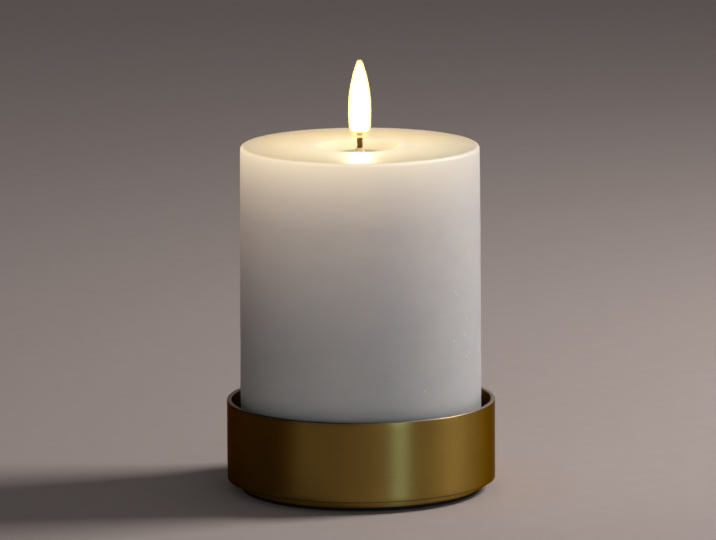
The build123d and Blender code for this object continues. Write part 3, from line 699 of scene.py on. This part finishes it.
def axis_share(tree, near, far):
    """Return 0 at one distance from the upright axis and 1 at another."""
    place = add_node(tree, "ShaderNodeTexCoord")
    flat = add_node(tree, "ShaderNodeMapping", {"Scale": (1.0, 1.0, 0.0)})
    reach = add_node(tree, "ShaderNodeVectorMath")
    reach.operation = "LENGTH"
    span = add_node(tree, "ShaderNodeMapRange", {"From Min": near, "From Max": far})
    tree.links.new(place.outputs["Object"], flat.inputs["Vector"])
    tree.links.new(flat.outputs["Vector"], reach.inputs[0])
    tree.links.new(reach.outputs["Value"], span.inputs["Value"])
    return span.outputs["Result"]


def blend(tree, factor, first, second):
    """Return the first colour where the factor is 0 and the second where it is 1."""
    mix = add_node(tree, "ShaderNodeMix")
    mix.data_type = "RGBA"
    for source, socket in zip((factor, first, second), MIX_INPUTS):
        tree.links.new(source, mix.inputs[socket])
    return mix.outputs[MIX_RESULT]


# %% Choose the levels of the glow
GLOW_REACH = 90.0 * MM
GLOW_NEAR = Vector((1.0, 0.81, 0.54))
GLOW_FAR = Vector((1.0, 0.64, 0.70))
# The glow peaks a few tenths of a millimetre below the top, which paints a thin highlight along the rim.
GLOW_LEVELS = (  # depth below the top in millimetres, and strength
    (66.0, 0.0), (54.0, 0.02), (47.0, 0.047), (41.0, 0.067), (35.0, 0.097), (22.0, 0.163), (12.0, 0.31),
    (6.0, 0.46), (3.5, 0.54), (2.0, 0.59), (1.2, 0.63), (0.7, 0.70), (0.3, 0.72), (0.12, 0.54), (0.0, 0.52),
)
GLOW_STRENGTH = 2.0
TOP_TINT = Vector((0.95, 0.77, 0.26))
TOP_LEVELS = (  # distance from the axis in millimetres, and how much of the glow shows there
    (0.0, 0.4), (2.6, 0.4), (3.4, 0.0), (6.6, 0.0), (8.2, 0.22), (11.0, 0.26), (13.0, 0.26), (16.0, 0.36),
    (19.0, 0.54), (22.0, 0.69), (26.0, 0.726), (30.5, 0.66), (33.5, 0.595), (36.0, 0.52), (37.0, 0.475),
    (37.45, 1.0),
)
SIDE_REACH = 38.0
SIDE_SHARE = 0.6  # how much of the glow the side shows
# Painted shade under the flame: the creep and a ring round the wick lie in the heel's shade, and the rest of
# the pool is toned down against the flame's light.
POOL_PAINTED_SHADE = (  # distance from the axis in millimetres, and the tone left to the wax under the flame
    (0.0, (1.0, 0.92, 0.80)), (2.7, (1.0, 0.92, 0.80)), (3.4, (0.47, 0.41, 0.27)), (6.4, (0.49, 0.43, 0.29)),
    (7.6, (0.79, 0.74, 0.66)), (12.0, (0.85, 0.81, 0.76)), (15.0, (1.0, 1.0, 1.0)),
)
GLOW_LEAN = (  # share of the width from the left, and share of the glow
    (0.0, 0.95), (0.25, 0.93), (0.5, 0.86), (0.75, 0.71), (0.9, 0.53), (1.0, 0.36),
)
LEAN_REACH = ((36.9, 0.5), (37.5, 1.0))  # distance from the axis, and how far the lean counts there
# Painted shade: the back half of the wax is toned darker and warmer, for how the light falls there.
BACK_PAINTED_SHADE = (  # share of the depth from the front, and the tone left to the wax
    (0.5, (1.0, 1.0, 1.0)), (0.62, (1.0, 0.955, 0.90)), (0.8, (0.99, 0.92, 0.82)), (0.88, (0.99, 0.93, 0.86)),
    (1.0, (1.0, 0.97, 0.95)),
)
print("glow:", len(GLOW_LEVELS), "levels on the height and", len(TOP_LEVELS), "across the top")


# %% Helper that makes the glow
def wax_glow(tree, from_axis):
    """Return the glow by the height, by the distance from the wick, and from left to right."""
    stops = []
    for depth, level in GLOW_LEVELS:
        position = 1.0 - depth * MM / GLOW_REACH
        stops.append((position, tuple(GLOW_FAR.lerp(GLOW_NEAR, position) * level)))
    by_height = colours(tree, height_share(tree, wax_high.z - GLOW_REACH, wax_high.z), stops)
    top_stops = [(reach / SIDE_REACH, tuple(TOP_TINT * (level * SIDE_SHARE))) for reach, level in TOP_LEVELS]
    top_stops.append((1.0, (SIDE_SHARE,) * 3))
    glow_tone = times(tree, by_height, colours(tree, from_axis, top_stops))
    lean = colours(tree, height_share(tree, -wax_high.x, wax_high.x, axis="X"), greys(GLOW_LEAN))
    reach_stops = greys((reach / SIDE_REACH, part) for reach, part in LEAN_REACH)
    return blend(tree, colours(tree, from_axis, reach_stops), glow_tone, times(tree, glow_tone, lean))


# %% Helper that makes the wax's tone
WAX_TONES = ((0.3, (0.75, 0.745, 0.735)), (0.7, (0.81, 0.805, 0.795)), (1.0, (0.98, 0.97, 0.96)))
WAX_CLOUDS = (90.0, 90.0, 140.0)
LINE_SHARE = 0.35


def wax_tone(tree, lines):
    """Return a white with clouds and faint lines in it, and whiter on the crumbs."""
    cloud = grain(tree, WAX_CLOUDS, detail=5.0, roughness=0.55)
    tint = add_node(tree, "ShaderNodeMix", {"Factor": LINE_SHARE})
    tree.links.new(cloud, tint.inputs["A"])
    tree.links.new(lines, tint.inputs["B"])
    crumb = add_node(tree, "ShaderNodeAttribute")
    crumb.attribute_name = "crumb"
    whiter = add_node(tree, "ShaderNodeMath")
    whiter.operation = "ADD"
    tree.links.new(tint.outputs["Result"], whiter.inputs[0])
    tree.links.new(crumb.outputs["Fac"], whiter.inputs[1])
    return colours(tree, whiter.outputs["Value"], WAX_TONES)


# %% Make the wax
WAX_LINES = (60.0, 60.0, 2400.0)
LINE_DEPTH = 0.06 * MM
SET_SKIN = 1.5 * MM
WAX_ROUGHNESS = (0.40, 0.45)


def candle_wax():
    """Warm white wax with a painted glow below the rim, painted shade in the pool and at the back, and faint
    level lines.
    """
    material, tree, shader = new_finish("candle_wax", {
        "IOR": 1.44, "Specular IOR Level": 0.62, "Subsurface Weight": 0.5, "Subsurface Scale": 0.005,
        "Subsurface Radius": (1.0, 0.62, 0.38), "Emission Strength": GLOW_STRENGTH,
    })
    lines = grain(tree, WAX_LINES, detail=3.0, roughness=0.65)
    from_axis = axis_share(tree, 0.0, SIDE_REACH * MM)
    pool = colours(tree, from_axis, [(reach / SIDE_REACH, tone) for reach, tone in POOL_PAINTED_SHADE])
    painted_back_shade = colours(tree, height_share(tree, -wax_high.y, wax_high.y, axis="Y"), BACK_PAINTED_SHADE)
    tree.links.new(times(tree, wax_tone(tree, lines), times(tree, pool, painted_back_shade)), shader.inputs["Base Color"])
    tree.links.new(times(tree, wax_glow(tree, from_axis), painted_back_shade), shader.inputs["Emission Color"])
    set_skin = height_share(tree, wax_high.z - SET_SKIN, wax_high.z)
    tree.links.new(spread(tree, set_skin, *WAX_ROUGHNESS), shader.inputs["Roughness"])
    relief(tree, shader, lines, LINE_DEPTH, strength=0.25)
    return material


wax_body.data.materials.append(candle_wax())
print("wax on", wax_body.name)

# %% [markdown]
# ## Wick and flame
#
# The wick is brown, and darker in streaks. The flame's middle is the one strong light on the object: it is
# a plain emission that is warmer and dimmer at its foot. The skin lets it through by its alpha, adds a warm
# glow of its own, and thins out above the heel so that the wick shows inside. The heel's lower edge is thick
# again and shows as a warm line.

# %% Make the wick's finish
WICK_TONES = ((0.10, 0.055, 0.006), (0.32, 0.18, 0.022))
WICK_FIBRES = (1800.0, 1800.0, 500.0)
FIBRE_DEPTH = 0.15 * MM


def scorched_wick():
    """Brown cord, darker in streaks."""
    material, tree, shader = new_finish("scorched_wick", {"Roughness": 0.75, "Specular IOR Level": 0.2})
    fibre = grain(tree, WICK_FIBRES, detail=4.0)
    tree.links.new(two_tones(tree, fibre, *WICK_TONES), shader.inputs["Base Color"])
    relief(tree, shader, fibre, FIBRE_DEPTH, strength=0.5)
    return material


wick_stalk.data.materials.append(scorched_wick())
print("cord on", wick_stalk.name)

# %% Light the flame's middle
FLAME_STRENGTH = 44.0
FLAME_TONES = (  # share of the height, and tone of the light
    (0.0, (0.04, 0.033, 0.02)), (0.04, (0.4, 0.33, 0.20)), (0.10, (0.95, 0.87, 0.61)),
    (0.35, (1.0, 0.91, 0.65)), (1.0, (1.0, 0.89, 0.59)),
)


def lit_middle():
    """Bright warm emission that dims towards its foot."""
    material, tree, shader = new_finish("lit_middle", {
        "Base Color": (0.8, 0.72, 0.6, 1.0), "Roughness": 0.6, "Emission Strength": FLAME_STRENGTH,
    })
    share = height_share(tree, GLOW_FOOT_Z, GLOW_TIP_Z)
    tree.links.new(colours(tree, share, FLAME_TONES), shader.inputs["Emission Color"])
    return material


lens_glow.data.materials.append(lit_middle())
print("light in", lens_glow.name)

# %% Frost the flame's skin
SKIN_STRENGTH = 1.5
SKIN_TONES = ((0.16, 0.10, 0.035), (0.21, 0.135, 0.05))
SKIN_WARMTH = (  # share of the height, and tone of the skin's own glow
    (0.0, (0.78, 0.55, 0.25)), (0.025, (0.70, 0.52, 0.22)), (0.12, (0.62, 0.48, 0.20)),
    (0.4, (0.83, 0.55, 0.22)), (1.0, (0.80, 0.50, 0.19)),
)
SKIN_COVER = (  # share of the height, and how much the skin covers
    (0.0, 0.85), (0.02, 0.8), (0.034, 0.2), (0.06, 0.2), (0.10, 0.5), (1.0, 0.5),
)
FROST_PER_METRE = 1500.0
FROST_DEPTH = 0.05 * MM


def frosted_skin():
    """Thin frosted plastic, warm where the light comes through, clearer above the heel."""
    material, tree, shader = new_finish("frosted_skin", {"Roughness": 0.35, "Emission Strength": SKIN_STRENGTH})
    frost = grain(tree, (FROST_PER_METRE,) * 3, detail=2.0)
    tree.links.new(two_tones(tree, frost, *SKIN_TONES), shader.inputs["Base Color"])
    share = height_share(tree, lens_low.z, lens_high.z)
    tree.links.new(colours(tree, share, SKIN_WARMTH), shader.inputs["Emission Color"])
    tree.links.new(colours(tree, share, greys(SKIN_COVER)), shader.inputs["Alpha"])
    relief(tree, shader, frost, FROST_DEPTH, strength=0.2)
    return material


lens_skin.data.materials.append(frosted_skin())
print("frost on", lens_skin.name)

# %% [markdown]
# ## Finishes for the working parts
#
# The parts inside the candle and under it keep their measured shapes, and each gets the finish of its real
# material. One function makes moulded plastic, with the fine spark texture of a mould, and one makes plated
# metal, with rub marks. The circuit board, the cells and the capacitors have patterns of their own.

# %% Helpers for plastic, rubber and metal
SPARK_DEPTH = 0.05 * MM
SPARK_SWING = (-0.08, 0.08)  # how far the texture moves the roughness
RUB_DEPTH = 0.02 * MM
RUB_SWING = (-0.1, 0.12)
METAL_RUBS = (900.0, 300.0, 900.0)


def moulded(name, dark, light, roughness, texture=2200.0):
    """Moulded plastic or rubber with a fine spark texture."""
    material, tree, shader = new_finish(name, {})
    sparks = grain(tree, (texture,) * 3, detail=3.0)
    tree.links.new(two_tones(tree, sparks, dark, light), shader.inputs["Base Color"])
    span = [roughness + swing for swing in SPARK_SWING]
    tree.links.new(spread(tree, sparks, *span), shader.inputs["Roughness"])
    relief(tree, shader, sparks, SPARK_DEPTH, strength=0.35)
    return material


def plated(name, dark, light, roughness):
    """Plated sheet metal or wire with soft rub marks."""
    material, tree, shader = new_finish(name, {"Metallic": 1.0})
    rubs = grain(tree, METAL_RUBS, detail=5.0, roughness=0.65)
    tree.links.new(two_tones(tree, rubs, dark, light), shader.inputs["Base Color"])
    span = [roughness + swing for swing in RUB_SWING]
    tree.links.new(spread(tree, rubs, *span), shader.inputs["Roughness"])
    relief(tree, shader, rubs, RUB_DEPTH, strength=0.2)
    return material


# %% Helper for the circuit board
TRACK_HEIGHT = 0.04 * MM


def printed_board():
    """Green lacquer over a grid of copper tracks."""
    material, tree, shader = new_finish("printed_board", {"Roughness": 0.38})
    place = add_node(tree, "ShaderNodeTexCoord")
    tracks = add_node(tree, "ShaderNodeTexBrick", {
        "Color1": (0.010, 0.085, 0.030, 1.0), "Color2": (0.014, 0.105, 0.038, 1.0),
        "Mortar": (0.05, 0.20, 0.07, 1.0), "Scale": 230.0, "Mortar Size": 0.03,
    })
    tree.links.new(place.outputs["Object"], tracks.inputs["Vector"])
    tree.links.new(tracks.outputs["Color"], shader.inputs["Base Color"])
    relief(tree, shader, tracks.outputs["Fac"], TRACK_HEIGHT, strength=0.5)
    return material


# %% Helper for the cells' sleeves and the capacitors
SLEEVE_RUBS = (500.0, 500.0, 120.0)
SLEEVE_SWING = (-0.08, 0.1)


def banded(name, low, high, stops, roughness):
    """A printed sleeve with bands at set shares of its height, and faint rub marks in its gloss."""
    material, tree, shader = new_finish(name, {})
    share = height_share(tree, low, high)
    rubs = grain(tree, SLEEVE_RUBS, detail=4.0)
    tree.links.new(colours(tree, share, stops, fade="CONSTANT"), shader.inputs["Base Color"])
    span = [roughness + swing for swing in SLEEVE_SWING]
    tree.links.new(spread(tree, rubs, *span), shader.inputs["Roughness"])
    relief(tree, shader, rubs, RUB_DEPTH, strength=0.15)
    return material


# %% Choose the bands
STEEL_GREY = (0.42, 0.41, 0.40)
SLEEVE_GREY = (0.03, 0.032, 0.036)
SLEEVE_COPPER = (0.42, 0.20, 0.07)
CAN_GREY = (0.50, 0.50, 0.50)
CAN_SLEEVE = (0.012, 0.016, 0.035)

cell_low, cell_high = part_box("cell_left")
can_low, can_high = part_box("board_capacitors")
plus_up = [(0.0, STEEL_GREY), (0.02, SLEEVE_GREY), (0.70, SLEEVE_COPPER), (0.965, STEEL_GREY)]
plus_down = [(0.0, STEEL_GREY), (0.035, SLEEVE_COPPER), (0.30, SLEEVE_GREY), (0.98, STEEL_GREY)]
print("bands:", len(plus_up), "on each cell, which is", round((cell_high.z - cell_low.z) / MM, 1), "mm long")

# %% [markdown]
# The table below gives each slot of the record its finish. The two cells share a slot but stand opposite
# ways up, so they are dressed by name after the rest.

# %% Make a finish for each slot
slot_finishes = {
    "core_white": moulded("core_white", (0.70, 0.70, 0.68), (0.78, 0.78, 0.76), 0.5),
    "base_ivory": moulded("base_ivory", (0.66, 0.63, 0.56), (0.74, 0.71, 0.64), 0.45),
    "holder_ivory": moulded("holder_ivory", (0.64, 0.60, 0.52), (0.72, 0.68, 0.60), 0.45),
    "knob_black": moulded("knob_black", (0.012, 0.012, 0.013), (0.03, 0.03, 0.032), 0.45),
    "chip_black": moulded("chip_black", (0.014, 0.014, 0.015), (0.028, 0.028, 0.03), 0.55, texture=6000.0),
    "resistor_black": moulded(
        "resistor_black", (0.016, 0.016, 0.017), (0.05, 0.05, 0.052), 0.4, texture=4000.0,
    ),
    "receiver_black": moulded("receiver_black", (0.010, 0.007, 0.008), (0.022, 0.016, 0.018), 0.2),
    "foot_rubber": moulded("foot_rubber", (0.038, 0.038, 0.037), (0.062, 0.062, 0.06), 0.6),
    "lead_red": moulded("lead_red", (0.36, 0.015, 0.012), (0.46, 0.025, 0.02), 0.4),
    "lead_black": moulded("lead_black", (0.012, 0.012, 0.013), (0.025, 0.025, 0.026), 0.4),
    "contact_nickel": plated("contact_nickel", (0.58, 0.56, 0.52), (0.70, 0.68, 0.64), 0.3),
    "switch_tin": plated("switch_tin", (0.52, 0.53, 0.54), (0.64, 0.65, 0.66), 0.35),
    "screw_zinc": plated("screw_zinc", (0.50, 0.50, 0.50), (0.64, 0.64, 0.65), 0.36),
    "crystal_can": plated("crystal_can", (0.56, 0.56, 0.56), (0.68, 0.68, 0.68), 0.25),
    "board_green": printed_board(),
    "capacitor_sleeve": banded(
        "capacitor_sleeve", can_low.z, can_high.z, [(0.0, CAN_SLEEVE), (0.965, CAN_GREY)], 0.35,
    ),
}
print("finishes for", len(slot_finishes), "slots")


# %% Dress the working parts
def dress(node_name, material):
    """Give a node of the frame one finish in all its slots."""
    mesh = frame["nodes"][node_name].data
    mesh.materials.clear()
    mesh.materials.append(material)


node_slots = {part["node"]: part["material_slot"] for part in frame["record"]["subparts"]}
for node_name, slot in node_slots.items():
    if slot in slot_finishes:
        dress(node_name, slot_finishes[slot])
dress("cell_left", banded("cell_plus_up", cell_low.z, cell_high.z, plus_up, 0.3))
dress("cell_right", banded("cell_plus_down", cell_low.z, cell_high.z, plus_down, 0.3))
print("dressed", sum(slot in slot_finishes for slot in node_slots.values()) + 2, "nodes of the frame")

# %% [markdown]
# The light chip on the wick's tip is a dot of yellow phosphor. It glows like the flame, but weaker.

# %% Make the light chip
CHIP_STRENGTH = 2.0
CHIP_TONES = ((0.85, 0.60, 0.16), (1.0, 0.78, 0.34))
CHIP_GRAINS_PER_METRE = 5000.0


def phosphor():
    """Grainy yellow phosphor that glows."""
    material, tree, shader = new_finish("phosphor", {"Roughness": 0.5, "Emission Strength": CHIP_STRENGTH})
    grains = grain(tree, (CHIP_GRAINS_PER_METRE,) * 3, detail=2.0)
    dot = two_tones(tree, grains, *CHIP_TONES)
    tree.links.new(dot, shader.inputs["Base Color"])
    tree.links.new(dot, shader.inputs["Emission Color"])
    return material


dress("flame_led", phosphor())
print("light chip dressed")

# %% [markdown]
# ## Floor, light and air
#
# The floor is one wide pale sheet, so that it fills the view from any side. The light is soft and comes from
# the right: a lamp above and a little behind the object, whose shadow falls to the left, and a wide low one in
# front. A tall narrow lamp in front on the right is there for shiny surfaces only, and the brass shows it as a
# bright upright band. The air is dim, and a little stronger on the left, where it fills the shade. What the
# brass mirrors is given by the compass, in degrees to the right of the front, because a round wall shows the
# whole room in a strip. A lit lamp throws no shadow that one could see, so the flame doesn't block the lamp
# behind it. Seen directly, the air has the tone of the far floor, so no horizon shows in a low view.

# %% Lay the floor
FLOOR_REACH = 30.0

sheet = bmesh.new()
bmesh.ops.create_circle(sheet, cap_ends=True, segments=64, radius=FLOOR_REACH)
floor_mesh = bpy.data.meshes.new("floor")
sheet.to_mesh(floor_mesh)
sheet.free()
floor = bpy.data.objects.new("floor", floor_mesh)
bpy.context.scene.collection.objects.link(floor)
print("floor reaches", FLOOR_REACH, "m")

# %% Finish the floor
MIRRORED_FLOOR = (  # degrees to the right of the front, and the tone left to the floor
    (-160.0, (0.6, 0.5, 0.4)), (-140.0, (0.25, 0.16, 0.07)), (-117.0, (0.25, 0.16, 0.07)),
    (-90.0, (0.52, 0.34, 0.12)), (-60.0, (0.65, 0.44, 0.13)), (-50.0, (0.8, 0.66, 0.40)),
    (-42.0, (1.0, 1.0, 1.0)), (0.0, (1.0, 1.0, 1.0)), (180.0, (1.0, 1.0, 1.0)),
)
FLOOR_TONES = ((0.74, 0.605, 0.555), (0.77, 0.635, 0.585))
FLOOR_MOTTLE = 120.0


def pale_floor():
    """Matt pale floor with a faint mottle, and a dim left part that only shiny surfaces see."""
    material, tree, shader = new_finish("pale_floor", {"Roughness": 0.85})
    mottle = grain(tree, (FLOOR_MOTTLE,) * 3, detail=6.0, roughness=0.6)
    tone = two_tones(tree, mottle, *FLOOR_TONES)
    place = add_node(tree, "ShaderNodeTexCoord")
    turn = around(tree, place.outputs["Object"])
    ray = add_node(tree, "ShaderNodeLightPath")
    dimmed = times(tree, tone, colours(tree, turn, compass(MIRRORED_FLOOR)))
    tree.links.new(blend(tree, ray.outputs["Is Glossy Ray"], tone, dimmed), shader.inputs["Base Color"])
    return material


floor_mesh.materials.append(pale_floor())
print("mirrors see the floor in", len(MIRRORED_FLOOR), "tones")

# %% Helper that hangs a lamp
AIM = Vector((0.0, 0.0, 0.06))


def softbox(name, place, width, height, power, colour, mirrored=True, matt=True):
    """A rectangular lamp that faces the object, and whether shiny and matt surfaces show it."""
    data = bpy.data.lights.new(name, "AREA")
    data.shape = "RECTANGLE"
    data.size = width
    data.size_y = height
    data.energy = power
    data.color = colour
    lamp = bpy.data.objects.new(name, data)
    lamp.location = place
    lamp.visible_camera = False
    lamp.visible_glossy = mirrored
    lamp.visible_diffuse = matt
    lamp.rotation_euler = (AIM - Vector(place)).to_track_quat("-Z", "Y").to_euler()
    bpy.context.scene.collection.objects.link(lamp)
    return lamp


# %% Hang the lamps
side_light = softbox(
    "side_light", place=(0.652, 0.151, 0.63), width=0.26, height=0.26, power=4.2, colour=(0.99, 0.99, 1.0),
)
softbox(
    "band_light", place=(0.827, -1.264, 0.45), width=0.38, height=1.2, power=5.6, colour=(0.28, 0.56, 1.0),
    matt=False,
)
softbox(
    "front_light", place=(0.55, -1.90, 0.24), width=0.90, height=0.40, power=3.6, colour=(0.90, 0.99, 1.0),
    mirrored=False,
)
print("lamps:", [light.name for light in bpy.data.lights])

# %% Let the light pass the flame
lit_pieces = bpy.data.collections.new("lit_pieces")
for piece in (lens_glow, lens_skin):
    lit_pieces.objects.link(piece)
for entry in lit_pieces.collection_objects:
    entry.light_linking.link_state = "EXCLUDE"
side_light.light_linking.blocker_collection = lit_pieces

# %% Choose the tones of the air
AIR_TONE = Vector((0.93, 0.96, 1.0))
ROOM_TONE = Vector((1.0, 0.91, 0.85))
AIR_LEVELS = ((0.0, 0.115), (0.2, 0.085), (0.45, 0.06), (1.0, 0.05))  # from the left to the right
ROOM_LEVELS = (  # what shiny surfaces mirror: degrees to the right of the front, and level
    (-165.0, 0.10), (-150.0, 0.02), (-140.0, 0.012), (-90.0, 0.01), (-75.0, 0.01), (-62.0, 0.02),
    (-55.0, 0.15), (-50.0, 0.14), (-40.0, 0.07), (-28.0, 0.086), (-8.0, 0.10), (4.0, 0.17), (12.0, 0.33),
    (23.0, 0.31), (34.0, 0.28), (45.0, 0.27), (56.0, 0.276), (70.0, 0.36), (81.0, 0.46), (96.0, 0.50),
    (110.0, 0.40), (134.0, 0.27), (155.0, 0.27), (168.0, 0.18), (180.0, 0.14),
)
SEEN_AIR = (0.058, 0.0487, 0.0465, 1.0)  # the tone of the far floor
print("air goes from", AIR_LEVELS[0][1], "on the left to", AIR_LEVELS[-1][1], "on the right")

# %% Fill the air
world = bpy.data.worlds.new("air")
world.use_nodes = True
bpy.context.scene.world = world
air = world.node_tree
fill = air.nodes["Background"]
direction = add_node(air, "ShaderNodeTexCoord")
axes = add_node(air, "ShaderNodeSeparateXYZ")
across = add_node(air, "ShaderNodeMapRange", {"From Min": -1.0, "From Max": 1.0})
air.links.new(direction.outputs["Generated"], axes.inputs["Vector"])
air.links.new(axes.outputs["X"], across.inputs["Value"])
ray = add_node(air, "ShaderNodeLightPath")


def air_for(rays, usual, other):
    """Return the usual air, or the other air for these rays."""
    choice = add_node(air, "ShaderNodeMixShader")
    air.links.new(ray.outputs[rays], choice.inputs["Fac"])
    air.links.new(usual, choice.inputs[1])
    air.links.new(other, choice.inputs[2])
    return choice.outputs["Shader"]


air_tones = [(position, tuple(AIR_TONE * level)) for position, level in AIR_LEVELS]
air.links.new(colours(air, across.outputs["Result"], air_tones), fill.inputs["Color"])
room = add_node(air, "ShaderNodeBackground")
room_tones = compass((degrees, tuple(ROOM_TONE * level)) for degrees, level in ROOM_LEVELS)
air.links.new(colours(air, around(air, direction.outputs["Generated"]), room_tones), room.inputs["Color"])
seen = add_node(air, "ShaderNodeBackground", {"Color": SEEN_AIR})
mirrored_air = air_for("Is Glossy Ray", fill.outputs["Background"], room.outputs["Background"])
whole_air = air_for("Is Camera Ray", mirrored_air, seen.outputs["Background"])
air.links.new(whole_air, air.nodes["World Output"].inputs["Surface"])
print("air has", len(air.nodes), "nodes")
